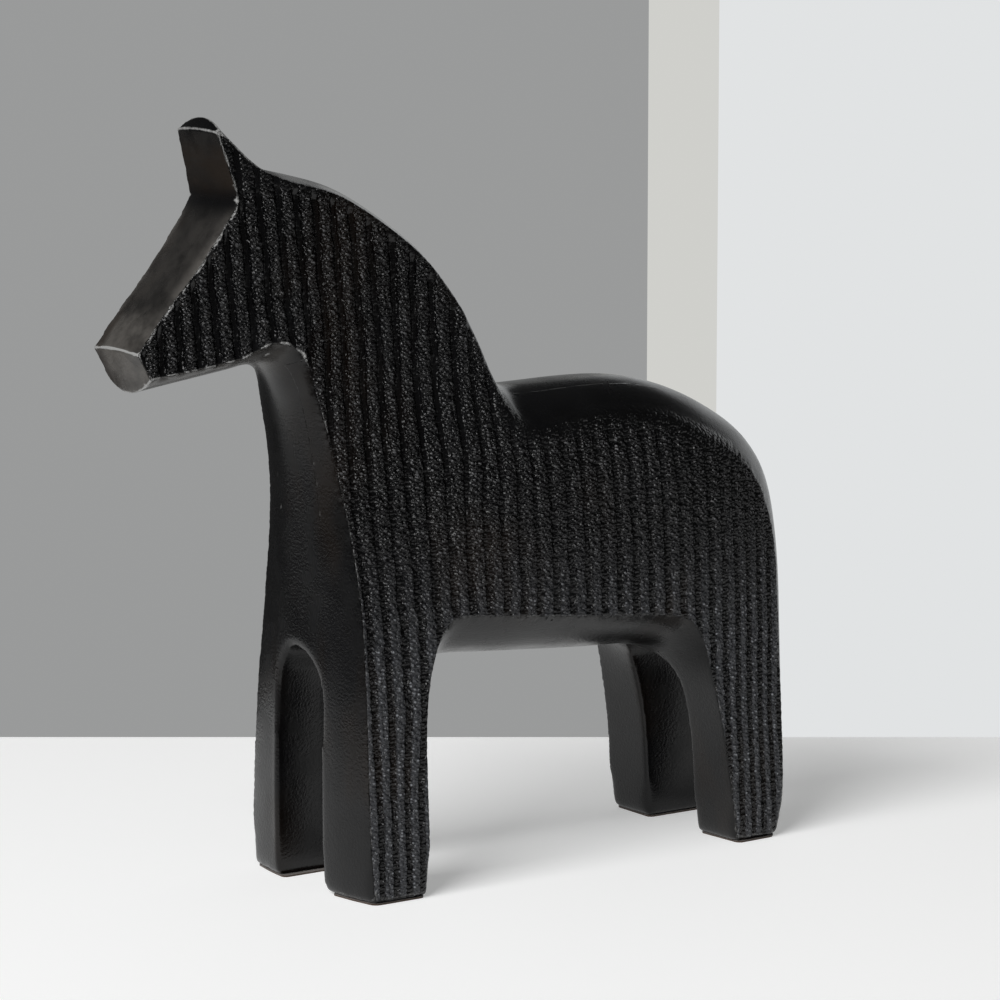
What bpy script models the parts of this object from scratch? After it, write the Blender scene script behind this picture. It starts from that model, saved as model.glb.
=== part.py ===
"""A standing horse carved from three glued boards, 230 mm tall.

The core board carries the head, the neck and the middle of the body. A left and a right board are
housed in shoulders on its sides and carry the legs. Dowels pin the boards together across the
glue faces, and each foot stands on a thin pad. The head looks along -X and the left side is at -Y.
The origin is on the ground under the middle of the horse.
"""

import math

import bmesh
import bpy
from mathutils import Vector
from mathutils.geometry import delaunay_2d_cdt

MM = 0.001

# Driving dimensions, in millimetres.
GAP = 0.3
CORE_THICKNESS = 20.0
BLANK_THICKNESS = 50.0
SLOT_WIDTH = 23.2
PAD_THICKNESS = 1.0
DOWEL_DIAMETER = 8.0
REACH = 300.0
ROD_SIDES = 24
DATUM = (-0.9, 0.0, 0.0)

# The outline, clockwise from the muzzle when seen from the left. Each station holds the edge of the
# flat side (x, z), the ridge on the middle plane beside it (x, z), and whether the outline turns
# sharply there.
MUZZLE = [
    ((-116.0, 164.5), (-117.0, 165.5), True),
]
NOSE = [
    ((-108.2, 174.1), (-109.4, 175.0), False),
    ((-95.5, 188.4), (-97.6, 189.0), False),
]
BROW = [
    ((-84.0, 203.8), (-86.2, 203.8), False),
    ((-82.8, 206.5), (-84.2, 208.0), False),
]
EAR = [
    ((-88.3, 226.0), (-89.0, 226.6), True),
    ((-87.2, 226.4), (-86.6, 230.0), False),
    ((-82.6, 222.0), (-81.4, 224.2), False),
    ((-75.0, 215.2), (-73.0, 216.0), False),
]
CREST = [
    ((-64.0, 210.8), (-61.0, 212.8), False),
    ((-49.0, 206.4), (-46.4, 208.6), False),
    ((-30.8, 195.6), (-28.0, 197.9), False),
    ((-17.6, 185.0), (-14.3, 187.2), False),
    ((-6.0, 170.0), (-2.4, 171.6), False),
    ((1.0, 155.7), (4.8, 156.8), False),
    ((4.5, 147.0), (9.0, 149.6), False),
]
BACK = [
    ((11.5, 134.6), (15.0, 146.2), False),
    ((20.0, 134.8), (24.0, 146.0), False),
    ((34.0, 136.8), (42.0, 146.4), False),
    ((50.0, 137.0), (58.0, 145.8), False),
    ((65.0, 134.2), (73.0, 142.8), False),
    ((80.0, 127.0), (89.0, 136.4), False),
]
RUMP = [
    ((94.5, 117.6), (105.2, 126.0), False),
    ((102.8, 105.4), (114.4, 113.4), False),
    ((107.2, 89.0), (118.2, 92.0), False),
    ((107.9, 68.0), (118.6, 68.0), False),
    ((106.2, 36.0), (115.8, 36.0), False),
    ((104.8, 12.0), (113.0, 12.0), False),
]
HIND_FOOT = [
    ((101.8, 0.0), (110.0, 0.0), True),
    ((85.3, 0.0), (84.3, 0.0), True),
]
HIND_LEG_FRONT = [
    ((82.4, 28.0), (82.9, 27.0), False),
    ((80.0, 42.0), (81.0, 40.0), False),
    ((77.2, 54.0), (77.4, 50.6), False),
    ((74.4, 64.0), (71.4, 58.0), False),
    ((69.4, 71.8), (63.6, 61.2), False),
    ((60.0, 74.6), (53.6, 62.0), False),
]
BELLY = [
    ((48.0, 75.8), (43.0, 62.4), False),
    ((10.0, 79.4), (8.0, 64.8), False),
    ((-12.6, 81.7), (-10.0, 66.0), False),
]
FORE_LEG_BACK = [
    ((-19.4, 80.8), (-16.4, 64.8), False),
    ((-24.6, 73.6), (-21.6, 59.4), False),
    ((-28.4, 61.0), (-25.8, 49.0), False),
    ((-30.0, 42.0), (-28.0, 34.0), False),
    ((-30.2, 20.0), (-28.8, 17.0), False),
]
FORE_FOOT = [
    ((-30.4, 0.0), (-29.0, 0.0), True),
    ((-50.9, 0.0), (-54.5, 0.0), True),
]
CHEST = [
    ((-51.1, 28.0), (-54.8, 28.0), False),
    ((-50.6, 58.0), (-54.4, 58.0), False),
    ((-50.0, 88.0), (-53.4, 88.0), False),
    ((-52.0, 118.0), (-55.2, 116.0), False),
    ((-57.6, 146.0), (-60.2, 142.0), False),
]
THROAT = [
    ((-63.0, 161.8), (-65.5, 153.8), False),
    ((-72.0, 165.6), (-72.5, 158.0), False),
    ((-82.0, 161.6), (-82.0, 157.0), False),
]
CHIN = [
    ((-112.0, 157.3), (-112.2, 152.4), True),
]
OUTLINE = (
    MUZZLE + NOSE + BROW + EAR + CREST + BACK + RUMP + HIND_FOOT + HIND_LEG_FRONT
    + BELLY + FORE_LEG_BACK + FORE_FOOT + CHEST + THROAT + CHIN
)
STEP_ALONG = 4.5
RINGS = 6
ROUNDNESS = 2.1
SIDE_GRID = 9.0

# Half the thickness at heights above the ground, for the neck and chest and for the body.
NECK_WIDTHS = [(0, 33.2), (30, 31.6), (60, 29.6), (88, 26.0), (118, 20.0), (148, 16.2), (178, 15.2),
               (206, 14.6), (226, 12.2), (240, 11.0)]
BODY_WIDTHS = [(0, 33.2), (30, 31.6), (60, 30.0), (90, 29.4), (108, 28.4), (120, 26.8), (129, 24.6),
               (137, 21.6), (148, 18.0), (178, 14.6), (206, 13.6), (240, 10.0)]
SHOULDER_FROM = -52.0
SHOULDER_TO = 12.0
HEAD_FROM = -62.0
HEAD_TO = -116.0
HEAD_TAPER = 0.19
RUMP_FROM = 62.0
RUMP_TO = 107.0
RUMP_DROP = 6.5
FOOT_DROP = 1.5

# The arched slots between the legs: x and roof height at each end, and the arch's own height.
FORE_SLOT = ((-68.0, 74.0), (4.0, 64.6))
HIND_SLOT = ((54.0, 59.6), (130.0, 66.0))
ARCH_HEIGHT = 16.0
ARCH_STEPS = 14
SLOT_DEPTH = 90.0

# The housing for the side boards ends at a saw-cut shoulder across the neck: two points on it.
SHOULDER_LINE = ((-66.0, 158.0), (-8.0, 190.0))

# Each dowel crosses all three boards at a place (x, z), and has its own length.
DOWELS = {
    "dowel_neck": ((-35.0, 146.0), 26.0),
    "dowel_chest": ((-36.0, 104.0), 36.0),
    "dowel_withers": ((-2.0, 122.0), 36.0),
    "dowel_belly": ((22.0, 92.0), 36.0),
    "dowel_loin": ((56.0, 112.0), 36.0),
    "dowel_rump": ((92.0, 84.0), 36.0),
}

# The stretch of X that holds each pair of feet.
FOOT_REACH = {"front": (-62.0, -18.0), "rear": (75.0, 125.0)}


def smooth_step(value):
    value = min(max(value, 0.0), 1.0)
    return value * value * (3.0 - 2.0 * value)


def read_widths(widths, z):
    """The half thickness at height z, on straight lines between the listed ones."""
    for (z0, w0), (z1, w1) in zip(widths, widths[1:]):
        if z <= z1:
            return w0 + (w1 - w0) * max(z - z0, 0.0) / (z1 - z0)
    return widths[-1][1]


def half_thickness(x, z):
    across = smooth_step((x - SHOULDER_FROM) / (SHOULDER_TO - SHOULDER_FROM))
    neck = read_widths(NECK_WIDTHS, z)
    body = read_widths(BODY_WIDTHS, z)
    rear = max(x - RUMP_FROM, 0.0) / (RUMP_TO - RUMP_FROM)
    drop = FOOT_DROP + (RUMP_DROP - FOOT_DROP) * smooth_step(z / 95.0)
    head = HEAD_TAPER * smooth_step((x - HEAD_FROM) / (HEAD_TO - HEAD_FROM))
    return (neck + (body - neck) * across) * (1.0 - head) - drop * rear * rear


def curve_point(before, start, end, after, share):
    """A point on the smooth curve from start to end, whose neighbours are before and after."""
    reach = (end - start).length
    lead_in = (end - before).normalized() * reach
    lead_out = (after - start).normalized() * reach
    s2 = share * share
    s3 = s2 * share
    return (
        start * (2 * s3 - 3 * s2 + 1)
        + lead_in * (s3 - 2 * s2 + share)
        + end * (3 * s2 - 2 * s3)
        + lead_out * (s3 - s2)
    )


def smooth_outline():
    """Pairs of points, side edge and middle ridge, all the way round."""
    sides = [Vector(side) for side, _, _ in OUTLINE]
    ridges = [Vector(ridge) for _, ridge, _ in OUTLINE]
    sharp = [corner for _, _, corner in OUTLINE]
    count = len(OUTLINE)
    pairs = []
    for i in range(count):
        j = (i + 1) % count
        before = i if sharp[i] else i - 1
        after = j if sharp[j] else (j + 1) % count
        straight = sharp[i] and sharp[j]
        parts = 1 if straight else max(1, round((sides[j] - sides[i]).length / STEP_ALONG))
        for part in range(parts):
            share = part / parts
            pairs.append((
                curve_point(sides[before], sides[i], sides[j], sides[after], share),
                curve_point(ridges[before], ridges[i], ridges[j], ridges[after], share),
            ))
    return pairs


def side_sheet(edge):
    """Points and triangles that fill the side edge, with a grid inside to follow the thickness."""
    points = [point.copy() for point in edge]
    border = [(i, (i + 1) % len(edge)) for i in range(len(edge))]
    xs = [point.x for point in edge]
    zs = [point.y for point in edge]
    for i in range(int((max(xs) - min(xs)) / SIDE_GRID) + 1):
        for j in range(int((max(zs) - min(zs)) / SIDE_GRID) + 1):
            spot = Vector((min(xs) + (i + 0.5) * SIDE_GRID, min(zs) + (j + 0.5) * SIDE_GRID))
            if inside(spot, edge) and min((spot - point).length for point in edge) > SIDE_GRID / 2:
                points.append(spot)
    filled = delaunay_2d_cdt(points, border, [list(range(len(edge)))], 1, 1e-6)
    return filled[0], filled[2]


def inside(spot, edge):
    crossings = 0
    for a, b in zip(edge, edge[1:] + edge[:1]):
        if (a.y > spot.y) != (b.y > spot.y):
            crossings += spot.x < a.x + (spot.y - a.y) / (b.y - a.y) * (b.x - a.x)
    return crossings % 2 == 1


def carved_half():
    """The left half of the whole carved form, open on the middle plane."""
    pairs = smooth_outline()
    edge = [side for side, _ in pairs]
    mesh = bmesh.new()
    rings = []
    for ring in range(RINGS):
        out = ring / RINGS
        inward = out ** ROUNDNESS
        row = []
        for side, ridge in pairs:
            spot = ridge + (side - ridge) * inward
            depth = half_thickness(side.x, side.y) * out
            row.append(mesh.verts.new((spot.x * MM, -depth * MM, spot.y * MM)))
        rings.append(row)
    spots, faces = side_sheet(edge)
    sheet = [
        mesh.verts.new((s.x * MM, -half_thickness(s.x, s.y) * MM, s.y * MM)) for s in spots
    ]
    rings.append(sheet[:len(edge)])
    for inner, outer in zip(rings, rings[1:]):
        for i in range(len(edge)):
            j = (i + 1) % len(edge)
            mesh.faces.new((inner[i], inner[j], outer[j], outer[i]))
    for face in faces:
        mesh.faces.new([sheet[i] for i in face])
    bmesh.ops.recalc_face_normals(mesh, faces=mesh.faces)
    bmesh.ops.triangulate(mesh, faces=mesh.faces, quad_method="SHORT_EDGE")
    data = bpy.data.meshes.new("carved_half")
    mesh.to_mesh(data)
    mesh.free()
    data.shade_smooth()
    data.set_sharp_from_angle(angle=math.radians(32.0))
    return data


def material(name, colour, roughness, metallic=0.0):
    made = bpy.data.materials.new(name)
    made.use_nodes = True
    shader = made.node_tree.nodes["Principled BSDF"]
    shader.inputs["Base Color"].default_value = (*colour, 1.0)
    shader.inputs["Roughness"].default_value = roughness
    shader.inputs["Metallic"].default_value = metallic
    return made


def new_collection(name):
    made = bpy.data.collections.new(name)
    bpy.context.scene.collection.children.link(made)
    return made


def add(name, data, collection, finish=None):
    thing = bpy.data.objects.new(name, data)
    collection.objects.link(thing)
    thing.parent = bpy.data.objects["datum"]
    if finish:
        data.materials.clear()
        data.materials.append(finish)
    return thing


def as_tool(thing):
    thing.hide_render = True
    thing.display_type = "WIRE"
    return thing


def boolean(thing, operation, tool):
    step = thing.modifiers.new(operation.lower() + "_" + tool.name, "BOOLEAN")
    step.operation = operation
    step.solver = "EXACT"
    step.object = tool


def mirror(thing):
    step = thing.modifiers.new("mirror", "MIRROR")
    step.use_axis = (False, True, False)
    step.merge_threshold = 0.00001


def box(name, low, high, collection, finish=None):
    """A box between two corners, in millimetres."""
    low = Vector(low) * MM
    high = Vector(high) * MM
    mesh = bmesh.new()
    bmesh.ops.create_cube(mesh, size=1.0)
    bmesh.ops.scale(mesh, vec=high - low, verts=mesh.verts)
    data = bpy.data.meshes.new(name)
    mesh.to_mesh(data)
    mesh.free()
    thing = add(name, data, collection, finish)
    thing.location = (low + high) / 2
    return thing


def rod(name, diameter, length, place, collection, finish=None):
    """A rod along Y through a place (x, z), centred on the middle plane, in millimetres."""
    radius = diameter / 2 * MM
    mesh = bmesh.new()
    bmesh.ops.create_cone(mesh, cap_ends=True, segments=ROD_SIDES, radius1=radius,
                          radius2=radius, depth=length * MM)
    data = bpy.data.meshes.new(name)
    mesh.to_mesh(data)
    mesh.free()
    data.shade_smooth()
    data.set_sharp_from_angle(angle=math.radians(40.0))
    thing = add(name, data, collection, finish)
    thing.location = (place[0] * MM, 0.0, place[1] * MM)
    thing.rotation_euler = (math.radians(90.0), 0.0, 0.0)
    return thing


def prism(name, outline, depth, collection):
    """A closed outline in its own XY plane, pushed out to both sides along its own Z."""
    mesh = bmesh.new()
    base = mesh.faces.new([mesh.verts.new((x * MM, y * MM, -depth / 2 * MM)) for x, y in outline])
    pushed = bmesh.ops.extrude_face_region(mesh, geom=[base])
    raised = [part for part in pushed["geom"] if isinstance(part, bmesh.types.BMVert)]
    bmesh.ops.translate(mesh, vec=(0.0, 0.0, depth * MM), verts=raised)
    bmesh.ops.recalc_face_normals(mesh, faces=mesh.faces)
    data = bpy.data.meshes.new(name)
    mesh.to_mesh(data)
    mesh.free()
    return as_tool(add(name, data, collection))


def slot_tool(name, ends, collection):
    """An arch across Y that runs along X and slopes from one roof height to the other."""
    (x0, z0), (x1, z1) = ends
    half = SLOT_WIDTH / 2
    angles = [math.pi * i / ARCH_STEPS for i in range(ARCH_STEPS + 1)]
    arch = [(half * math.cos(turn), ARCH_HEIGHT * (math.sin(turn) - 1.0)) for turn in angles]
    outline = [(half, -SLOT_DEPTH)] + arch + [(-half, -SLOT_DEPTH)]
    tool = prism(name, outline, math.hypot(x1 - x0, z1 - z0), collection)
    tool.location = Vector((x0 + x1, 0.0, z0 + z1)) / 2 * MM
    slope = math.atan2(z1 - z0, x1 - x0)
    tool.rotation_euler = (math.radians(90.0) - slope, 0.0, math.radians(90.0))
    return tool


def side_blank(name, sign, clear, collection):
    """The room for a side board: outside the core's faces and below the shoulder on the neck."""
    (x0, z0), (x1, z1) = SHOULDER_LINE
    along = Vector((x1 - x0, z1 - z0)).normalized()
    down = Vector((along.y, -along.x)) * clear
    start = Vector((x0, z0)) - along * REACH + down
    end = Vector((x1, z1)) + along * REACH + down
    outline = [tuple(start), (start.x, -REACH), (end.x, -REACH), tuple(end)]
    near = CORE_THICKNESS / 2 + clear
    tool = prism(name, outline, BLANK_THICKNESS, collection)
    tool.rotation_euler = (math.radians(90.0), 0.0, 0.0)
    tool.location = (0.0, sign * (near + BLANK_THICKNESS / 2) * MM, 0.0)
    return tool


def make_dowels(parts, tools, finish):
    """The dowels, and the cutters of their holes."""
    holes = []
    for name, (place, length) in DOWELS.items():
        rod(name, DOWEL_DIAMETER, length, place, parts, finish)
        hole = rod("hole_" + name, DOWEL_DIAMETER + 2 * GAP, length + 2 * GAP, place, tools)
        holes.append(as_tool(hole))
    return holes


def make_board(side, sign, half, cuts, parts, tools):
    """A side board: the form outside the core, below the shoulder, less its slots and holes."""
    board = add(side + "_board", half, parts)
    mirror(board)
    boolean(board, "INTERSECT", side_blank(side + "_blank", sign, GAP, tools))
    for tool in cuts:
        boolean(board, "DIFFERENCE", tool)


def make_pad(leg, sign, form, slots, parts, finish):
    """A thin pad in the shape of one foot's sole."""
    end, side = leg
    x0, x1 = FOOT_REACH[end]
    y0, y1 = sorted((sign * SLOT_WIDTH / 4, sign * BLANK_THICKNESS))
    low = (x0, y0, 0.0)
    high = (x1, y1, PAD_THICKNESS)
    pad = box("foot_pad_" + end + "_" + side, low, high, parts, finish)
    for operation, tool in [("INTERSECT", form)] + [("DIFFERENCE", slot) for slot in slots]:
        boolean(pad, operation, tool)


def main():
    for thing in list(bpy.data.objects):
        bpy.data.objects.remove(thing, do_unlink=True)
    parts = new_collection("carved_horse")
    tools = new_collection("cutters")
    tools.hide_render = True
    datum = bpy.data.objects.new("datum", None)
    datum.location = Vector(DATUM) * MM
    parts.objects.link(datum)

    lacquer = material("black_lacquered_wood", (0.012, 0.012, 0.013), 0.42)
    dowel_wood = material("plain_beech", (0.55, 0.38, 0.22), 0.6)
    felt = material("brown_felt", (0.16, 0.09, 0.05), 0.95)

    half = carved_half()
    half.materials.append(lacquer)
    form = as_tool(add("whole_form", half, tools))
    mirror(form)
    slots = [slot_tool("fore_slot", FORE_SLOT, tools), slot_tool("hind_slot", HIND_SLOT, tools)]
    low = (-REACH, -REACH, -REACH)
    under = as_tool(box("under_soles", low, (REACH, REACH, PAD_THICKNESS + GAP), tools))
    holes = make_dowels(parts, tools, dowel_wood)

    core = add("core_board", half, parts)
    mirror(core)
    for side, sign in (("left", -1), ("right", 1)):
        boolean(core, "DIFFERENCE", side_blank(side + "_housing", sign, 0.0, tools))
        make_board(side, sign, half, slots + [under] + holes, parts, tools)
        for end in FOOT_REACH:
            make_pad((end, side), sign, form, slots, parts, felt)
    for tool in slots + holes:
        boolean(core, "DIFFERENCE", tool)


main()
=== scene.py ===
import math

import bpy
import numpy as np
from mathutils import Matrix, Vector, kdtree
from mathutils.bvhtree import BVHTree


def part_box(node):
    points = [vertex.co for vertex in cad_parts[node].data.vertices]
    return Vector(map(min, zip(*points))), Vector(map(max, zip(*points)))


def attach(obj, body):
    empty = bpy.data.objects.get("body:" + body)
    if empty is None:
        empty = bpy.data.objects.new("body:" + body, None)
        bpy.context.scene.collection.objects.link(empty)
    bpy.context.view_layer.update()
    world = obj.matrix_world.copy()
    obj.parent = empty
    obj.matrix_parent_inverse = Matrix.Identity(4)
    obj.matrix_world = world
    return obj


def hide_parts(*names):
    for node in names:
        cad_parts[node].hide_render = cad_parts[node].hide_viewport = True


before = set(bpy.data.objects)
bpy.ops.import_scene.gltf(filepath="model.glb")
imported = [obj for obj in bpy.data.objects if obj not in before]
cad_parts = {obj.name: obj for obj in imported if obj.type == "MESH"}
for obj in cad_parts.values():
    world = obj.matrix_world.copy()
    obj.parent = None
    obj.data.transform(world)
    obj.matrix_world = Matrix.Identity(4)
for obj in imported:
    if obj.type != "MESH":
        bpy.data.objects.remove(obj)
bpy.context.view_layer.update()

MM = 0.001
X, Y, Z = 0, 1, 2

# The glue-up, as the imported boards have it.
CORE_HALF = 10.0 * MM
GLUE_REACH = 0.35 * MM  # a little over the gap that is left between packed boards
OVERLAP = 0.15 * MM
SHOULDER_FRONT = Vector((-66.9, 0.0, 158.0)) * MM
SHOULDER_BACK = Vector((-8.9, 0.0, 190.0)) * MM
SHOULDER_RUN = (SHOULDER_BACK - SHOULDER_FRONT).normalized()
SHOULDER_UP = Vector((-SHOULDER_RUN.z, 0.0, SHOULDER_RUN.x))
SAME_POINT = 0.001 * MM
ON_GLUE_FACE = 0.002 * MM
BESIDE_GLUE_LINE = 0.8 * MM

# The rounded edges. These and all the carving are in millimetres.
CARVING_CELL = 1.0
CELL_HALVINGS = 8
ARRIS_ANGLE = 24.0
NEXT_ON_LINE = 1.7
FACES_RUBS = 40
EDGE_RUBS = 24
FOOT_RUBS = 36
SLOT_SHIFT = 2.4
PAD_SHOWN = 0.5
FOOT_LET_DOWN = 8.0

# The ribs and the punched beads on them.
RIB_PITCH = 6.0
FIRST_RIB = 2.5
NECK_DEPTH = 1.25
BODY_DEPTH = 0.65
EDGE_REACH = 3.0
RIDGE_HALF = 6.0  # along the middle of the back and chest nothing is pulled in
BEAD_WIDE = 1.9
BEAD_TALL = 1.5
BEAD_HEIGHT = 0.45

# A groove's walls and its floor, as shares of the pitch from the crest: tailward, then headward.
WALL_BEHIND, WALL_BEFORE = (0.16, 0.34), (0.18, 0.46)
FLOOR_BEHIND, FLOOR_BEFORE = (0.22, 0.32), (0.32, 0.44)

# Unevenness: how large its features are, and the seed of its random numbers.
RIB_WANDER = (2.4, 11)
RIB_SWAY = (8.0, 12)
DEPTH_SWAY = (9.0, 13)
BEAD_SWAY = (3.0, 14)
BEAD_SEED = 15
# The pale edge lines are partly wear, partly painted highlight.
PALE_EDGE_WIDTH = (3.0, 21)
PALE_EDGE_PATCHES = (6.0, 22)
OTHER_FLANK = 500.0

# Areas of the horse: an axis, where the area fades out, and from where on it is full.
NECK = ((Z, 105.0, 150.0), (X, 6.0, -15.0))
HIND_LEG = ((Z, 75.0, 30.0),)
FORE_LEG = ((Z, 60.0, 20.0),)
WITHERS = ((Z, 105.0, 140.0),)
THROAT = ((X, -25.0, -40.0),)
FEET = ((Z, 16.0, 3.0),)
GAP_ARCH = ((Z, 56.0, 72.0),)
FORE_GAP = ((X, -25.0, -40.0), (Z, 100.0, 78.0))
HEAD = ((X, -55.0, -64.0), (Z, 150.0, 156.0))
CREST = ((X, -80.0, -74.0), (Z, 190.0, 196.0))
EAR = ((X, -66.0, -72.0), (Z, 203.0, 208.0))
EAR_PLAIN = ((Z, 206.0, 214.0),)
EAR_FRONT = ((X, -66.0, -72.0), (Z, 204.0, 212.0), (Z, 223.0, 220.0))
EAR_FOLD = ((X, -66.0, -72.0),)
BACK = ((X, -8.0, -2.0), (Z, 110.0, 118.0))
NOSE = ((X, -78.0, -84.0), (Z, 160.0, 166.0), (Z, 206.0, 198.0))
JAW = ((X, -64.0, -72.0), (Z, 150.0, 153.0))
MUZZLE = ((X, -108.0, -112.0),)
MUZZLE_FAR_SIDE = ((X, -108.0, -112.0), (Y, 5.5, 8.5))


# ---------------------------------------------------------------- meshes

def select_only(piece):
    bpy.ops.object.select_all(action="DESELECT")
    piece.select_set(True)
    bpy.context.view_layer.objects.active = piece


def new_piece(name, mesh):
    piece = bpy.data.objects.new(name, mesh)
    bpy.context.scene.collection.objects.link(piece)
    return piece


def packed_copy(name, node):
    """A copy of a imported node, with its loose triangles joined up."""
    piece = new_piece(name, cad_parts[node].data.copy())
    select_only(piece)
    bpy.ops.object.mode_set(mode="EDIT")
    bpy.ops.mesh.select_all(action="SELECT")
    bpy.ops.mesh.remove_doubles(threshold=SAME_POINT)
    bpy.ops.object.mode_set(mode="OBJECT")
    return piece


def modify(piece, kind, **settings):
    """Adds a modifier with its settings and applies it."""
    modifier = piece.modifiers.new(kind.lower(), kind)
    for name, value in settings.items():
        setattr(modifier, name, value)
    select_only(piece)
    bpy.ops.object.modifier_apply(modifier=modifier.name)


def read_points(mesh):
    flat = np.empty(len(mesh.vertices) * 3)
    mesh.vertices.foreach_get("co", flat)
    return flat.reshape(-1, 3)


def write_points(mesh, points):
    mesh.vertices.foreach_set("co", points.ravel())
    mesh.update()


def point_normals(mesh):
    flat = np.empty(len(mesh.vertices) * 3)
    mesh.vertex_normals.foreach_get("vector", flat)
    return flat.reshape(-1, 3)


def face_normals(mesh):
    flat = np.empty(len(mesh.polygons) * 3)
    mesh.polygons.foreach_get("normal", flat)
    return flat.reshape(-1, 3)


def corners(mesh):
    """The vertex and the face of each face corner."""
    vertex = np.empty(len(mesh.loops), int)
    mesh.loops.foreach_get("vertex_index", vertex)
    sizes = np.empty(len(mesh.polygons), int)
    mesh.polygons.foreach_get("loop_total", sizes)
    return vertex, np.repeat(np.arange(len(sizes)), sizes)


def keep_values(mesh, name, values):
    """Writes one number for each vertex, for the finish to read."""
    layer = mesh.attributes.new(name, "FLOAT", "POINT")
    layer.data.foreach_set("value", values.astype(np.float32))


def kept_values(mesh, name):
    values = np.empty(len(mesh.vertices), np.float32)
    mesh.attributes[name].data.foreach_get("value", values)
    return values


# ---------------------------------------------------------------- places

def step(value, none, full):
    """0 at none and before it, 1 at full and past it, and smooth between them, either way round."""
    share = np.clip((value - none) / (full - none), 0.0, 1.0)
    return share * share * (3.0 - 2.0 * share)


def within(points, area):
    """How far inside an area each place is, from 0 to 1."""
    share = np.ones(len(points))
    for axis, none, full in area:
        share *= step(points[:, axis], none, full)
    return share


def tree_of(points):
    tree = kdtree.KDTree(len(points))
    for number, point in enumerate(points):
        tree.insert(point, number)
    tree.balance()
    return tree


def nearest_of(points, targets):
    """The number of the target nearest to each point, and how far away it is."""
    tree = tree_of(targets)
    found = [tree.find(point) for point in points]
    return np.array([number for _, number, _ in found]), np.array([gap for _, _, gap in found])


def distance_to(points, targets):
    return nearest_of(points, targets)[1]


def filled_in(line):
    """The same line of points with one more between each two that are next to each other."""
    tree = tree_of(line)
    filled = [(np.array(near) + point) / 2
              for point in line for near, _, _ in tree.find_range(point, NEXT_ON_LINE)]
    return np.array(filled)


def above_shoulder(points):
    """How far each place is above the glue line of the shoulders."""
    return (points - np.array(SHOULDER_FRONT)) @ np.array(SHOULDER_UP)


# ---------------------------------------------------------------- uneven handwork

def scatter(cells, seed):
    """A repeatable random number from 0 to 1 for each whole-number cell."""
    last_prime, largest = 1274126177, 0xFFFFFF
    mixed = seed * 374761393
    for axis, prime in zip(cells.T, (668265263, 2147483647, last_prime)):
        mixed = mixed + axis.astype(np.int64) * prime
    mixed = (mixed ^ (mixed >> 13)) * last_prime
    mixed = mixed ^ (mixed >> 16)
    return (mixed & largest) / largest


def drift(points, size, seed):
    """Smooth noise from -1 to 1 whose features are about size across."""
    scaled = points / size
    low = np.floor(scaled)
    share = step(scaled - low, 0.0, 1.0)
    total = np.zeros(len(points))
    for corner in np.ndindex(*(2,) * points.shape[1]):
        weight = np.ones(len(points))
        for axis, high in enumerate(corner):
            weight *= share[:, axis] if high else 1.0 - share[:, axis]
        total += weight * scatter(low + np.array(corner), seed)
    return total * 2.0 - 1.0


def beads(across, up, seed):
    """Rounded beads packed side by side: 1 at the middle of each, 0 between them."""
    margin, room, reach, far_off = 0.15, 0.7, 0.6, 9.0
    spots = np.stack([across / BEAD_WIDE, up / BEAD_TALL], axis=1)
    low = np.floor(spots)
    nearest = np.full(len(spots), far_off)
    for i in (-1, 0, 1):
        for j in (-1, 0, 1):
            cell = low + np.array([i, j])
            middle_x = cell[:, 0] + margin + room * scatter(cell, seed)
            middle_y = cell[:, 1] + margin + room * scatter(cell, seed + 1)
            gap = (spots[:, 0] - middle_x) ** 2 + (spots[:, 1] - middle_y) ** 2
            nearest = np.minimum(nearest, gap)
    return np.clip(1.0 - nearest / reach, 0.0, 1.0)


# ---------------------------------------------------------------- the block, glued up

def glued_board(node, neighbours):
    """A copy of a packed board that laps over its neighbours across the glue lines."""
    board = packed_copy(node + "_blank", node)
    points = read_points(board.data)
    for name in neighbours:
        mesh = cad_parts[name].data
        surface = BVHTree.FromPolygons([v.co for v in mesh.vertices],
                                       [p.vertices for p in mesh.polygons])
        for i, point in enumerate(points):
            found, _, _, gap = surface.find_nearest(Vector(point), GLUE_REACH)
            if found is not None and gap > 0.0:
                points[i] += (np.array(found) - point) * (1.0 + OVERLAP / gap)
    write_points(board.data, points)
    return board


def glue_up():
    """The three boards as one block, in an even mesh."""
    block = glued_board("core_board", ["left_board", "right_board"])
    block.name = "block"
    for side in ("left_board", "right_board"):
        board = glued_board(side, ["core_board"])
        modify(block, "BOOLEAN", operation="UNION", solver="MANIFOLD", object=board)
        bpy.data.objects.remove(board)
    share = max(block.dimensions) / (CARVING_CELL * MM * 2 ** CELL_HALVINGS)
    modify(block, "REMESH", mode="SHARP", octree_depth=CELL_HALVINGS, scale=min(0.99, share),
           use_remove_disconnected=True)
    return block


def sharp_points(piece, angle):
    """Which vertices lie on an edge sharper than an angle."""
    select_only(piece)
    bpy.ops.object.mode_set(mode="EDIT")
    bpy.ops.mesh.select_mode(type="EDGE")
    bpy.ops.mesh.select_all(action="DESELECT")
    bpy.ops.mesh.edges_select_sharp(sharpness=math.radians(angle))
    bpy.ops.mesh.select_mode(type="VERT")
    bpy.ops.object.mode_set(mode="OBJECT")
    flags = np.empty(len(piece.data.vertices), bool)
    piece.data.vertices.foreach_get("select", flags)
    return flags


# ---------------------------------------------------------------- the edges, rubbed round

def rub_down(piece, weights, passes):
    """Smooths a piece, each place as much as its weight says."""
    levels = 20
    group = piece.vertex_groups.new(name="rubbed")
    nearest_level = np.round(weights * levels).astype(int)
    for level in range(1, levels + 1):
        members = np.nonzero(nearest_level == level)[0]
        if len(members):
            group.add(members.tolist(), level / levels, "REPLACE")
    modify(piece, "SMOOTH", factor=0.5, iterations=passes, vertex_group="rubbed")
    piece.vertex_groups.clear()


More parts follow.
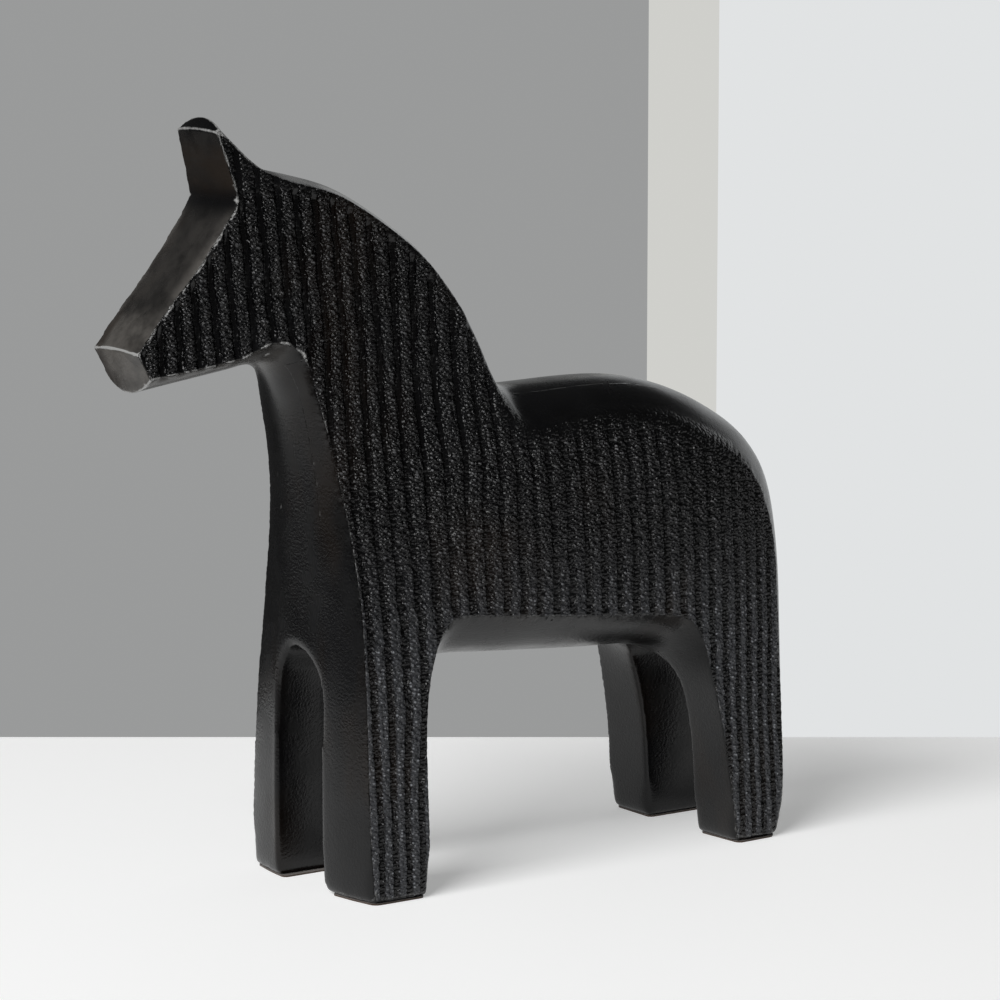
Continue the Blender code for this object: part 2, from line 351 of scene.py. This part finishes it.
def slot_rounding(points, arris):
    """How far each place beside the mouths of the slots is rounded over: most at the front."""
    half_width, top, fore_legs, rear_share, highest = 13.0, 78.0, -40.0, 0.4, 84.0
    x, y, z = points.T
    mouth = arris & (np.abs(y) < half_width) & (z < top)
    beside = step(distance_to(points, points[mouth]), 5.0, 1.0)
    return np.where(x < fore_legs, 1.0, rear_share) * beside * (z < highest)


def back_rounding(points, arris):
    """How far each place along the back's edges is rounded over."""
    withers, lowest, inmost = -4.0, 120.0, 15.0
    x, y, z = points.T
    edge = arris & (x > withers) & (z > lowest) & (np.abs(y) > inmost)
    return step(distance_to(points, points[edge]), 7.0, 1.0)


def slot_shift(points):
    """How far the gap between the fore legs is carved to the right, most at the top of its arch."""
    arch_width = 7.0
    _, y, _ = points.T
    inside = step(np.abs(y), 18.0, 11.0)
    arch = np.exp(-(y / arch_width) ** 2) * within(points, GAP_ARCH)
    return SLOT_SHIFT * (inside + arch) * within(points, FORE_GAP)


def round_over(block):
    """Rubs round the edges of the slots, the feet and the back. Returns the points of every edge."""
    mesh = block.data
    arris = sharp_points(block, ARRIS_ANGLE)
    rub_down(block, np.where(arris, 0.0, 1.0), FACES_RUBS)
    points = read_points(mesh)
    feet = 0.9 * within(points / MM, FEET)
    rounded = np.maximum(slot_rounding(points / MM, arris), feet)
    points[:, Y] += slot_shift(points / MM) * MM
    write_points(mesh, points)
    rub_down(block, rounded, EDGE_RUBS)
    heights = read_points(mesh)[:, Z]
    rub_down(block, feet, FOOT_RUBS)
    points = read_points(mesh)
    points[:, Z] = heights
    write_points(mesh, points)
    rub_down(block, back_rounding(read_points(mesh) / MM, arris), EDGE_RUBS)
    return filled_in(read_points(mesh)[arris] / MM)


# ---------------------------------------------------------------- the ribs

def rib_count(points):
    """Which rib a place is on: whole numbers lie on the crests."""
    rump_start, rump_length, bend_at, bend_width = 70.0, 36.0, -8.0, 12.0
    head_low, fore_leg_middle = 165.0, -46.0
    x, _, z = points.T
    rump = np.clip((x - rump_start) / rump_length, 0.0, None) ** 2
    bend = np.exp(-((x - bend_at) / bend_width) ** 2)
    count = (x - FIRST_RIB) / RIB_PITCH
    # Closer together round the rump, most of all down the hind leg.
    count += 0.8 * rump * (1.0 + 1.1 * within(points, HIND_LEG))
    # Bent where the neck meets the back.
    count -= 0.4 * bend * within(points, WITHERS)
    # Leaning on the head, and drawn together down the fore leg.
    count += 0.015 * np.clip(z - head_low, 0.0, None) * within(points, THROAT)
    count += 0.043 * (x - fore_leg_middle) * (x < 0.0) * within(points, FORE_LEG)
    return count


def rib_cut(points, fade):
    """How deep the gouge and the punch go on a flank, how rough it is left, and where a groove is."""
    x, y, z = points.T
    # Each flank has an unevenness of its own.
    flat = np.stack([x, z], axis=1) + OTHER_FLANK * (y[:, None] > 0)
    count = rib_count(points) + 0.05 * drift(flat, *RIB_WANDER) + 0.05 * drift(flat, *RIB_SWAY)
    aside = count - np.round(count)
    behind = aside > 0.0
    walls = np.where(behind, step(aside, *WALL_BEHIND), step(-aside, *WALL_BEFORE))
    floor = np.where(behind, step(aside, *FLOOR_BEHIND), step(-aside, *FLOOR_BEFORE))
    crown = np.clip((aside / 0.3) ** 2, 0.0, 1.0)
    groove = 0.75 * walls + 0.25 * crown
    neck = within(points, NECK)
    depth = BODY_DEPTH + (NECK_DEPTH - BODY_DEPTH) * neck
    depth *= (1.0 + 0.25 * drift(flat, *DEPTH_SWAY)) * fade
    # The punch hardly reaches the floor of a groove, least of all on the neck.
    rough = (1.0 - (0.35 + 0.55 * neck) * floor) * (0.6 + 0.4 * fade)
    bead = beads(x + 0.5 * drift(flat, *BEAD_SWAY), z, BEAD_SEED)
    return groove * depth + (1.0 - bead) * BEAD_HEIGHT * rough, rough, groove


def face_middles(mesh, points, axis):
    """Where the middle of each face is along an axis."""
    vertex, face = corners(mesh)
    total = np.zeros(len(mesh.polygons))
    np.add.at(total, face, points[vertex, axis])
    return total / np.bincount(face)


def flank_faces(mesh, points):
    """Which faces are the horse's flanks, and not the inside of a slot."""
    sideways, core_edge, above_slots = 0.86, 13.5, 150.0
    facing = face_normals(mesh)[:, Y]
    aside, height = face_middles(mesh, points, Y), face_middles(mesh, points, Z)
    outward = (np.abs(facing) > sideways) & (facing * aside > 0)
    return outward & ((np.abs(aside) > core_edge) | (height > above_slots))


def on_back(edge):
    """Which points of the flanks' edges lie along the back."""
    withers, rump, lowest = 4.0, 88.0, 112.0
    x, _, z = edge.T
    return (x > withers) & (x < rump) & (z > lowest)


def on_crest(edge):
    """Which points of the flanks' edges lie along the crest of the neck, down to the withers."""
    brow, poll, withers = -80.0, -40.0, 4.0
    lowest, poll_height, slope = 150.0, 196.0, 0.75
    x, _, z = edge.T
    outer = z > poll_height - slope * (x - poll) * (x > poll)
    return (x > brow) & (x < withers) & (z > lowest) & outer


def carve_ribs(block):
    """Pulls the flanks in along the grooves; the edge of each flank goes in with it."""
    mesh = block.data
    points = read_points(mesh) / MM
    vertex, face = corners(mesh)
    flank = flank_faces(mesh, points)[face]
    on_flank, off_flank = np.zeros(len(points), bool), np.zeros(len(points), bool)
    on_flank[vertex[flank]] = True
    off_flank[vertex[~flank]] = True
    border = on_flank & off_flank
    edge = points[border]
    along_back, along_crest = on_back(edge), on_crest(edge)

    chosen = points[on_flank]
    fade = step(distance_to(chosen, edge[along_back]), 1.0, 9.0)
    fade *= step(distance_to(chosen, edge[along_crest]), 0.4, 3.0)
    fade *= 1.0 - within(chosen, EAR_PLAIN)
    hold = 0.35 + 0.65 * step(distance_to(chosen, edge), 0.0, 3.0)
    cut, rough, groove = rib_cut(chosen, fade * hold)

    rest = ~on_flank & (np.abs(points[:, Y]) > RIDGE_HALF)
    nearest, reach = nearest_of(points[rest], edge)
    moved = np.zeros(len(points))
    moved[on_flank] = cut
    moved[rest] = moved[border][nearest] * np.clip(1.0 - reach / EDGE_REACH, 0.0, None)
    points[:, Y] -= np.sign(points[:, Y]) * moved
    write_points(mesh, points * MM)

    grain, depth = np.zeros(len(points)), np.zeros(len(points))
    grain[on_flank] = rough
    grain[rest] = np.where(along_back[nearest], 0.3 * step(reach, 5.0, 0.0), 0.0)
    depth[on_flank] = groove * fade
    return grain, depth


# ---------------------------------------------------------------- pale edges, painted highlights and reflections, brown tint

def pale_edge_share(points, arris_line):
    """How pale each edge is: partly worn lacquer, partly painted highlight. Most on the head's edges,
    least low down and inside the slots.
    """
    slot_edge, slot_top = 16.0, 80.0
    _, y, z = points.T
    width = 0.75 + 0.25 * drift(points, *PALE_EDGE_WIDTH)
    line = 1.0 - step(distance_to(points, arris_line), 0.2, width)
    place = 0.4 + 0.6 * within(points, HEAD)
    place *= (1.0 - 0.7 * within(points, CREST)) * (1.0 - 0.35 * within(points, EAR))
    place *= 1.0 - within(points, BACK)
    place *= np.where((np.abs(y) < slot_edge) & (z < slot_top), 0.12, 1.0)
    return line * place * (0.8 + 0.2 * drift(points, *PALE_EDGE_PATCHES))


def painted_sheen_places(points, facing, smooth, arris_line):
    """Painted highlight in grey: beside the edges of the nose, on the front of the muzzle and on the
    underside of the jaw, where light and the table's reflection fall.
    """
    edges_only = 1.0 - 0.65 * step(distance_to(points, arris_line), 0.5, 5.0)
    nose = 0.9 * within(points, NOSE) * edges_only * smooth
    jaw = 0.55 * within(points, JAW) * step(-facing[:, Z], 0.15, 0.5)
    muzzle = within(points, MUZZLE) * step(-facing[:, X], 0.5, 0.8)
    return np.maximum(nose, np.maximum(jaw, muzzle))


def brown_tint(points, smooth):
    """Where the coat is tinted brown: the front of the ear and the far side of the muzzle."""
    fold_height, fold_width = 205.0, 3.5
    # The crease between ear and nose is kept out of the brown tint and stays black: painted shade in
    # the crease.
    fold = np.exp(-((points[:, Z] - fold_height) / fold_width) ** 2)
    fold *= within(points, EAR_FOLD) * smooth
    ear = within(points, EAR_FRONT) * smooth * (1.0 - fold)
    return np.maximum(ear, 0.7 * within(points, MUZZLE_FAR_SIDE))


def in_crease(points):
    """Which places lie in the fold between ear and nose, which no hand reaches. No pale edge line is
    drawn there, so the fold stays dark as painted shade.
    """
    x, y, z = points.T
    return (x < -70.0) & (z > 198.0) & (z < 212.0) & (np.abs(y) < 12.0)


def let_down_feet(mesh):
    """Lengthens the feet so that less of each pad shows."""
    points = read_points(mesh) / MM
    sole = points[:, Z].min()
    points[:, Z] -= (sole - PAD_SHOWN) * step(points[:, Z], FOOT_LET_DOWN, sole)
    write_points(mesh, points * MM)
    return points


def carved_block():
    """The whole horse in one piece, with what its coat needs to know kept at each vertex."""
    block = glue_up()
    arris_line = round_over(block)
    arris_line = arris_line[~in_crease(arris_line)]
    modify(block, "SUBSURF", levels=1, render_levels=1)
    grain, depth = carve_ribs(block)
    points = let_down_feet(block.data)
    smooth = grain < 0.01
    facing = point_normals(block.data)
    keep_values(block.data, "grain", grain)
    keep_values(block.data, "depth", depth)
    # Pale edges: partly worn lacquer, partly painted highlight.
    keep_values(block.data, "pale_edge", pale_edge_share(points, arris_line))
    # Painted highlight on the nose, muzzle and jaw.
    keep_values(block.data, "painted_sheen", painted_sheen_places(points, facing, smooth, arris_line))
    # Brown tint on the front of the ear and the far side of the muzzle.
    keep_values(block.data, "brown_tint", brown_tint(points, smooth))
    return block


# ---------------------------------------------------------------- the boards, sawn apart again

def side_room(name, side):
    """The room of a side board: outside the core's face and below the shoulder."""
    long, wide, middle_height = 0.6, 0.1, 0.1
    bpy.ops.object.select_all(action="DESELECT")
    bpy.ops.mesh.primitive_cube_add(size=1.0)
    room = bpy.context.active_object
    room.name = name
    bpy.ops.object.mode_set(mode="EDIT")
    bpy.ops.transform.resize(value=(long, wide, long))
    bpy.ops.transform.translate(value=(0.0, side * (CORE_HALF + wide / 2), middle_height))
    bpy.ops.mesh.bisect(plane_co=SHOULDER_FRONT, plane_no=SHOULDER_UP, use_fill=True,
                        clear_outer=True)
    bpy.ops.object.mode_set(mode="OBJECT")
    return room


def sawn(name, block, operation, rooms):
    """A copy of the block, cut by the room of one side board or of both."""
    board = new_piece(name, block.data.copy())
    for room in rooms:
        modify(board, "BOOLEAN", operation=operation, solver="MANIFOLD", object=room)
    return board


def near_glue_line(mesh):
    """Which vertices lie close to a glue line, so that both sides of it stay alike."""
    points = read_points(mesh)
    level = above_shoulder(points)
    beside_core = np.abs(np.abs(points[:, Y]) - CORE_HALF) < BESIDE_GLUE_LINE
    return (beside_core & (level < BESIDE_GLUE_LINE)) | (np.abs(level) < BESIDE_GLUE_LINE)


def on_glue_face(mesh):
    """Which faces lie on a glue line."""
    points = read_points(mesh)
    vertex, face = corners(mesh)
    outward = np.abs(points[:, Y])
    core_face = np.abs(outward - CORE_HALF) < ON_GLUE_FACE
    shoulder = (np.abs(above_shoulder(points)) < ON_GLUE_FACE) & (outward > CORE_HALF - ON_GLUE_FACE)
    count = np.bincount(face)
    flags = np.zeros(len(count), bool)
    for plane in (core_face, shoulder):
        flags |= np.bincount(face, weights=plane[vertex]) == count
    return flags


def thin_out(board, keep, share):
    """Fewer, larger faces everywhere but at the vertices to keep."""
    mesh = board.data
    vertex, face = corners(mesh)
    kept = np.bincount(face, weights=keep[vertex]) > 0
    mesh.polygons.foreach_set("select", ~kept)
    select_only(board)
    bpy.ops.object.mode_set(mode="EDIT")
    bpy.ops.mesh.select_mode(type="FACE")
    bpy.ops.mesh.decimate(ratio=share)
    bpy.ops.object.mode_set(mode="OBJECT")


def smooth_but_for_glue_faces(mesh):
    """Shades the carved faces smooth, with a crisp edge round each glue face."""
    glued = on_glue_face(mesh)
    edge = np.empty(len(mesh.loops), int)
    mesh.loops.foreach_get("edge_index", edge)
    count = np.bincount(edge)
    glued_count = np.bincount(edge, weights=glued[corners(mesh)[1]])
    mesh.shade_smooth()
    sharp = mesh.attributes.get("sharp_edge")
    sharp = sharp or mesh.attributes.new("sharp_edge", "BOOLEAN", "EDGE")
    sharp.data.foreach_set("value", (glued_count > 0) & (glued_count < count))


# ---------------------------------------------------------------- finishes

class Finish:
    """A material that is built up node by node."""

    # The Mix node has a set of sockets for each kind of value. These are its colours.
    MIX_FIRST, MIX_SECOND, MIX_RESULT = 6, 7, 2

    def __init__(self, name):
        self.material = bpy.data.materials.new(name)
        self.material.use_nodes = True
        self.tree = self.material.node_tree
        self.shader = self.tree.nodes["Principled BSDF"]
        self.on_piece = None

    @property
    def place(self):
        """A place on the piece itself. Its node is made when the first pattern asks for it."""
        if self.on_piece is None:
            self.on_piece = self.add("ShaderNodeTexCoord").outputs["Object"]
        return self.on_piece

    def add(self, kind, settings=None, **inputs):
        node = self.tree.nodes.new(kind)
        for name, value in (settings or {}).items():
            setattr(node, name, value)
        for name, value in inputs.items():
            self.put(node, name.replace("_", " "), value)
        return node

    def put(self, node, socket, value):
        """Links an output to a socket, or sets the socket to a number or colour."""
        if isinstance(value, bpy.types.NodeSocket):
            self.tree.links.new(value, node.inputs[socket])
        else:
            node.inputs[socket].default_value = value

    def shade(self, **inputs):
        """Links or sets the shader's own sockets."""
        for name, value in inputs.items():
            self.put(self.shader, name.replace("_", " "), value)

    def stretched(self, x, y, z):
        return self.add("ShaderNodeMapping", Vector=self.place, Scale=(x, y, z)).outputs["Vector"]

    def noise(self, size_mm, detail, where=None, roughness=0.5):
        node = self.add("ShaderNodeTexNoise", Vector=where or self.place, Detail=detail,
                        Scale=1.0 / MM / size_mm, Roughness=roughness)
        return node.outputs["Fac"]

    def cells(self, size_mm, where):
        """How far a place is from the middle of its cell, and a random number for the cell."""
        node = self.add("ShaderNodeTexVoronoi", Scale=1.0 / MM / size_mm, Vector=where,
                        Randomness=0.85)
        own = self.add("ShaderNodeSeparateColor", Color=node.outputs["Color"])
        return node.outputs["Distance"], own.outputs["Red"]

    def kept(self, name):
        return self.add("ShaderNodeAttribute", {"attribute_name": name}).outputs["Fac"]

    def maths(self, operation, first, second):
        node = self.add("ShaderNodeMath", {"operation": operation})
        self.put(node, 0, first)
        self.put(node, 1, second)
        return node.outputs["Value"]

    def times(self, first, second):
        return self.maths("MULTIPLY", first, second)

    def between(self, value, start, end, low=0.0, high=1.0):
        """Low up to start, high from end on, and smooth between them."""
        node = self.add("ShaderNodeMapRange", {"interpolation_type": "SMOOTHSTEP"}, Value=value,
                        From_Min=start, From_Max=end, To_Min=low, To_Max=high)
        return node.outputs["Result"]

    def mix(self, share, first, second):
        node = self.add("ShaderNodeMix", {"data_type": "RGBA"}, Factor=share)
        self.put(node, self.MIX_FIRST, first)
        self.put(node, self.MIX_SECOND, second)
        return node.outputs[self.MIX_RESULT]

    def bump(self, height, depth_mm, under=None):
        node = self.add("ShaderNodeBump", Height=height, Distance=depth_mm * MM, Strength=1.0)
        if under is not None:
            self.put(node, "Normal", under)
        return node.outputs["Normal"]


BLACK = (0.0018, 0.0018, 0.0020, 1.0)
DUSTY = (0.0040, 0.0040, 0.0044, 1.0)
WARM = (0.007, 0.0045, 0.003, 1.0)
# Painted highlight on the nose, muzzle and jaw.
PAINTED_SHEEN_GREY = (0.074, 0.069, 0.063, 1.0)
# Brown tint on the ear front and the muzzle's far side.
BROWN_TINT = (0.011, 0.007, 0.0042, 1.0)
# Painted reflection of the table on the low rib crests.
TABLE_REFLECTION_GREY = (0.038, 0.0395, 0.0435, 1.0)
# Pale bead tops: partly bare lacquer, partly painted glints; the brighter one, low down, is also
# painted reflection of the table.
CHIP_AND_GLINT = (0.11, 0.11, 0.114, 1.0)
SCUFF_AND_TABLE_GLINT = (0.27, 0.28, 0.30, 1.0)
# Pale edges: partly worn lacquer, partly painted highlight.
WORN_AND_HIGHLIGHT = (0.26, 0.26, 0.255, 1.0)
FELT_DARK, FELT_PALE = (0.020, 0.011, 0.006, 1.0), (0.060, 0.034, 0.020, 1.0)
BEECH_DARK, BEECH_PALE = (0.45, 0.29, 0.16, 1.0), (0.62, 0.44, 0.28, 1.0)


def tinted(coat):
    """Black, in places dusty and in places warm."""
    dust = coat.between(coat.noise(26.0, detail=3.0), 0.42, 0.7)
    colour = coat.mix(dust, BLACK, DUSTY)
    warmth = coat.noise(34.0, detail=2.0, where=coat.stretched(1.0, 1.6, 0.7))
    return coat.mix(coat.times(coat.between(warmth, 0.52, 0.72), 0.7), colour, WARM)


def sheened_and_tinted(coat, colour, browned):
    """Grey painted highlight on the nose, muzzle and jaw, and brown where the coat is tinted."""
    sheen_patches = coat.between(coat.noise(7.0, detail=4.0, roughness=0.6), 0.25, 0.65, low=0.35)
    # Painted highlight: lighter grey where light falls on the nose, muzzle and jaw.
    colour = coat.mix(coat.times(coat.kept("painted_sheen"), sheen_patches), colour, PAINTED_SHEEN_GREY)
    streaks = coat.noise(5.0, detail=4.0, where=coat.stretched(1.0, 0.35, 1.0))
    tint_share = coat.times(browned, coat.between(streaks, 0.3, 0.6, low=0.5))
    return coat.mix(tint_share, colour, BROWN_TINT)


def scuffed_and_glinting_ribs(coat, colour, grain, depth, table_reflection_low, gap, own):
    """Greyed crests low down, a painted reflection of the table; and the tops of some beads pale,
    partly bare lacquer and partly painted glints, brighter low down.
    """
    on_crest = coat.times(coat.between(grain, 0.3, 0.9), coat.between(depth, 0.75, 0.2))
    colour = coat.mix(coat.times(table_reflection_low, on_crest), colour, TABLE_REFLECTION_GREY)
    top = coat.times(coat.between(gap, 0.42, 0.12), coat.between(own, 0.3, 1.0))
    top = coat.times(top, coat.between(grain, 0.45, 1.0, high=0.85))
    top = coat.times(top, coat.between(depth, 0.9, 0.3, low=0.35))
    return coat.mix(top, colour, coat.mix(table_reflection_low, CHIP_AND_GLINT, SCUFF_AND_TABLE_GLINT))


def pale_edge_line(coat, colour):
    """A pale, ragged line along the edges: partly worn lacquer, partly painted highlight."""
    ragged = coat.times(coat.noise(1.6, detail=3.0, roughness=0.7), 0.7)
    pale_line = coat.maths("ADD", coat.times(coat.kept("pale_edge"), 1.3), ragged)
    return coat.mix(coat.between(pale_line, 0.62, 1.15), colour, WORN_AND_HIGHLIGHT)


def satin(coat, grain, browned):
    """How dull the coat is: duller where it is tinted brown, a little shinier on the ribs."""
    dull = coat.between(coat.noise(9.0, detail=3.0), 0.3, 0.75, low=0.22, high=0.30)
    dull = coat.maths("ADD", dull, coat.times(browned, 0.25))
    return coat.maths("SUBTRACT", dull, coat.times(grain, 0.02))


def uneven(coat, grain, gap, height):
    """Orange peel and brush marks all over, with pebbles and grit on the ribs."""
    coarse = coat.between(height, 0.150, 0.095, low=0.25)
    peel = coat.bump(coat.times(coat.noise(0.8, detail=2.0), coarse), depth_mm=0.08)
    strokes = coat.noise(1.0, detail=2.0, where=coat.stretched(0.25, 0.25, 1.6))
    brushed = coat.bump(strokes, depth_mm=0.012, under=peel)
    pebble = coat.maths("SUBTRACT", 1.0, coat.times(gap, gap))
    rough = coat.bump(coat.times(pebble, grain), depth_mm=1.15, under=brushed)
    return coat.bump(coat.times(coat.noise(0.5, detail=2.0), grain), depth_mm=0.22, under=rough)


def black_lacquer():
    """Satin black lacquer: thin and pale on the edges, partly worn and partly painted highlight;
    punched and grainy on the ribs; with painted highlights and reflections on the head and low down.
    """
    coat = Finish("black_lacquer")
    grain, depth, browned = coat.kept("grain"), coat.kept("depth"), coat.kept("brown_tint")
    height = coat.add("ShaderNodeSeparateXYZ", Vector=coat.place).outputs["Z"]
    # Painted reflection of the table: stronger towards the bottom.
    table_reflection_low = coat.between(height, 0.108, 0.055)
    gap, own = coat.cells(1.05, where=coat.stretched(0.8, 0.8, 1.0))
    colour = sheened_and_tinted(coat, tinted(coat), browned)
    colour = scuffed_and_glinting_ribs(coat, colour, grain, depth, table_reflection_low, gap, own)
    coat.shade(Base_Color=pale_edge_line(coat, colour), Roughness=satin(coat, grain, browned),
               Normal=uneven(coat, grain, gap, height), Specular_IOR_Level=0.32)
    return coat.material


def felt():
    """Brown felt, with matted fibres."""
    cloth = Finish("brown_felt")
    fibres = cloth.noise(0.5, detail=4.0, where=cloth.stretched(1.0, 1.0, 2.5))
    cloth.shade(Base_Color=cloth.mix(fibres, FELT_DARK, FELT_PALE), Roughness=0.95,
                Normal=cloth.bump(fibres, depth_mm=0.15), Sheen_Weight=0.3)
    return cloth.material


def beech():
    """Bare beech, with pores drawn out along the dowel."""
    wood = Finish("dowel_beech")
    pores = wood.noise(0.8, detail=4.0, where=wood.stretched(1.0, 0.06, 1.0))
    wood.shade(Base_Color=wood.mix(pores, BEECH_DARK, BEECH_PALE), Roughness=0.65,
               Normal=wood.bump(pores, depth_mm=0.05))
    return wood.material


def dress(piece, material):
    piece.data.materials.clear()
    piece.data.materials.append(material)


# ---------------------------------------------------------------- the finished pieces

def finish_board(board, node, lacquer):
    """Thins out the plain faces, shades the board and lacquers it."""
    mesh = board.data
    # Pale edges: partly worn lacquer, partly painted highlight.
    on_ribs, on_pale_edge = kept_values(mesh, "grain") > 0.01, kept_values(mesh, "pale_edge") > 0.4
    thin_out(board, on_ribs | on_pale_edge | near_glue_line(mesh), share=0.2)
    smooth_but_for_glue_faces(board.data)
    dress(board, lacquer)
    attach(board, "root")
    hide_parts(node)


def foot_pad(name, node, material):
    """A felt pad with rounded corners, set back under the foot and pressed thin."""
    upright, corner_radius, corner_steps, set_back = 0.5 * MM, 2.2 * MM, 4, 0.88
    pad = packed_copy(name, node)
    low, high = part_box(node)
    bpy.ops.object.mode_set(mode="EDIT")
    bpy.ops.mesh.select_all(action="SELECT")
    bpy.ops.mesh.dissolve_limited(angle_limit=math.radians(4.0))
    bpy.ops.mesh.select_all(action="DESELECT")
    bpy.ops.object.mode_set(mode="OBJECT")
    for edge in pad.data.edges:
        a, b = (pad.data.vertices[i].co for i in edge.vertices)
        edge.select = abs(a.z - b.z) > upright
    bpy.ops.object.mode_set(mode="EDIT")
    bpy.ops.mesh.select_mode(type="EDGE")
    bpy.ops.mesh.bevel(offset=corner_radius, segments=corner_steps, affect="EDGES")
    bpy.ops.object.mode_set(mode="OBJECT")
    points = read_points(pad.data)
    middle = np.array((low + high) / 2)[:2]
    points[:, :2] = middle + (points[:, :2] - middle) * set_back
    points[:, Z] *= PAD_SHOWN * MM / (high[Z] - low[Z])
    write_points(pad.data, points)
    dress(pad, material)
    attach(pad, "root")
    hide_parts(node)


block = carved_block()
left_room = side_room("left_room", -1)
right_room = side_room("right_room", 1)
boards = {
    "core_board": sawn("head_and_core", block, "DIFFERENCE", [left_room, right_room]),
    "left_board": sawn("left_flank", block, "INTERSECT", [left_room]),
    "right_board": sawn("right_flank", block, "INTERSECT", [right_room]),
}
for tool in (block, left_room, right_room):
    bpy.data.objects.remove(tool)
lacquer = black_lacquer()
for node, board in boards.items():
    finish_board(board, node, lacquer)

felt_finish = felt()
for end in ("front", "rear"):
    for side in ("left", "right"):
        foot_pad(end + "_" + side + "_felt", "foot_pad_" + end + "_" + side, felt_finish)

dowel_finish = beech()
for name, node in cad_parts.items():
    if name.startswith("dowel"):
        dress(node, dowel_finish)


# ---------------------------------------------------------------- table, walls, light, camera

# Into the room and across it, level with the table, and the turn of what stands square to them.
VIEW = Vector((0.583, 0.8124, 0.0))
RIGHT = Vector((0.8124, -0.583, 0.0))
TURN = math.radians(-35.66)
TABLE_BACK = 0.184
TABLE_FRONT = 0.9
TABLE_WIDTH = 3.0
TABLE_COLOUR, TABLE_GLOW = (0.8, 0.8, 0.8), (0.31, 0.312, 0.31)
# The part of the table that the lacquer mirrors, measured from the horse.
SHINE_FRONT = 0.19
SHINE_LEFT = 0.36
SHINE_RIGHT = 1.5
SHINE_LIFT = 0.1 * MM
WALL_BACK = 2.6
WALL_LEFT = 0.6
WALL_RIGHT = 3.0
WALL_TOP = 1.3
WALL_BOTTOM = -1.0
PILLAR_SIDE = 0.1472
PILLAR_FACE = 0.2106
WALL_COLOUR = (0.0, 0.0, 0.0)
GREY_GLOW = (0.319, 0.323, 0.323)
PILLAR_GLOW = (0.624, 0.624, 0.597)
PALE_GLOW = (0.752, 0.767, 0.774)

WINDOW_PLACE = Vector((-2.3, -0.8, 1.75))
WINDOW_AIM = Vector((0.0, 0.0, 0.1))
WINDOW_SIZE = 1.9
WINDOW_WATTS = 103.0
ROOM_LIGHT = 0.05
ROOM_SEEN = 0.6
CAMERA_PLACE = (-0.7333, -1.0459, 0.3077)
CAMERA_LOOK = Vector((0.5762, 0.8031, -0.1518))
LENS_MM = 154.62
SENSOR_MM = 36.0
NEAREST_SEEN = 0.05


def plain(name, colour, glow):
    """A matt surface of one colour, lifted by a glow of its own."""
    surface = Finish(name)
    surface.shade(Base_Color=(*colour, 1.0), Roughness=0.8, Specular_IOR_Level=0.1,
                  Emission_Color=(*glow, 1.0), Emission_Strength=1.0)
    return surface.material


def panel(name, middle, size, upright, material):
    bpy.ops.object.select_all(action="DESELECT")
    bpy.ops.mesh.primitive_plane_add(size=1.0)
    sheet = bpy.context.active_object
    sheet.name = name
    sheet.scale = (*size, 1.0)
    sheet.rotation_euler = (math.radians(90.0) if upright else 0.0, 0.0, TURN)
    sheet.location = middle
    sheet.data.materials.append(material)
    return sheet


def wall_panel(name, start, end, glow):
    """A stretch of the back wall, from start to end across the room."""
    middle = VIEW * WALL_BACK + RIGHT * (start + end) / 2
    middle.z = (WALL_TOP + WALL_BOTTOM) / 2
    panel(name, middle, (end - start, WALL_TOP - WALL_BOTTOM), True, plain(name, WALL_COLOUR, glow))


def lay_table():
    """The table, and the part of it that shows in the lacquer as a sheet of its own."""
    white = plain("table_white", TABLE_COLOUR, TABLE_GLOW)
    middle = VIEW * (TABLE_BACK - TABLE_FRONT) / 2
    top = panel("table", middle, (TABLE_WIDTH, TABLE_BACK + TABLE_FRONT), False, white)
    top.visible_glossy = False
    middle = VIEW * (TABLE_BACK - SHINE_FRONT) / 2 + RIGHT * (SHINE_RIGHT - SHINE_LEFT) / 2
    middle.z = SHINE_LIFT
    size = (SHINE_LEFT + SHINE_RIGHT, TABLE_BACK + SHINE_FRONT)
    shine = panel("table_shine", middle, size, False, white)
    shine.visible_camera = shine.visible_diffuse = shine.visible_shadow = False


def pointed(name, data, place, look):
    """A lamp or camera at a place, looking along a direction."""
    holder = new_piece(name, data)
    holder.location = place
    holder.rotation_euler = look.to_track_quat("-Z", "Y").to_euler()
    return holder


def hang_window():
    """A large soft light, high on the left."""
    lamp = bpy.data.lights.new("window", "AREA")
    lamp.energy = WINDOW_WATTS
    lamp.size = WINDOW_SIZE
    pointed("window", lamp, WINDOW_PLACE, WINDOW_AIM - WINDOW_PLACE)


def light_room():
    """A white room all round that lights the horse only faintly."""
    world = bpy.data.worlds.new("room")
    world.use_nodes = True
    nodes, links = world.node_tree.nodes, world.node_tree.links
    background = nodes["Background"]
    background.inputs["Color"].default_value = (1.0, 1.0, 1.0, 1.0)
    seen = nodes.new("ShaderNodeLightPath")
    level = nodes.new("ShaderNodeMapRange")
    level.inputs["To Min"].default_value = ROOM_LIGHT
    level.inputs["To Max"].default_value = ROOM_SEEN
    links.new(seen.outputs["Is Camera Ray"], level.inputs["Value"])
    links.new(level.outputs["Result"], background.inputs["Strength"])
    bpy.context.scene.world = world


def place_camera():
    lens = bpy.data.cameras.new("camera")
    lens.lens = LENS_MM
    lens.sensor_width = SENSOR_MM
    lens.clip_start = NEAREST_SEEN
    bpy.context.scene.camera = pointed("camera", lens, CAMERA_PLACE, CAMERA_LOOK)


lay_table()
wall_panel("grey_wall", -WALL_LEFT, PILLAR_SIDE, GREY_GLOW)
wall_panel("pillar_side", PILLAR_SIDE, PILLAR_FACE, PILLAR_GLOW)
wall_panel("pale_wall", PILLAR_FACE, WALL_RIGHT, PALE_GLOW)
hang_window()
light_room()
place_camera()
bpy.context.scene.view_settings.view_transform = "Standard"
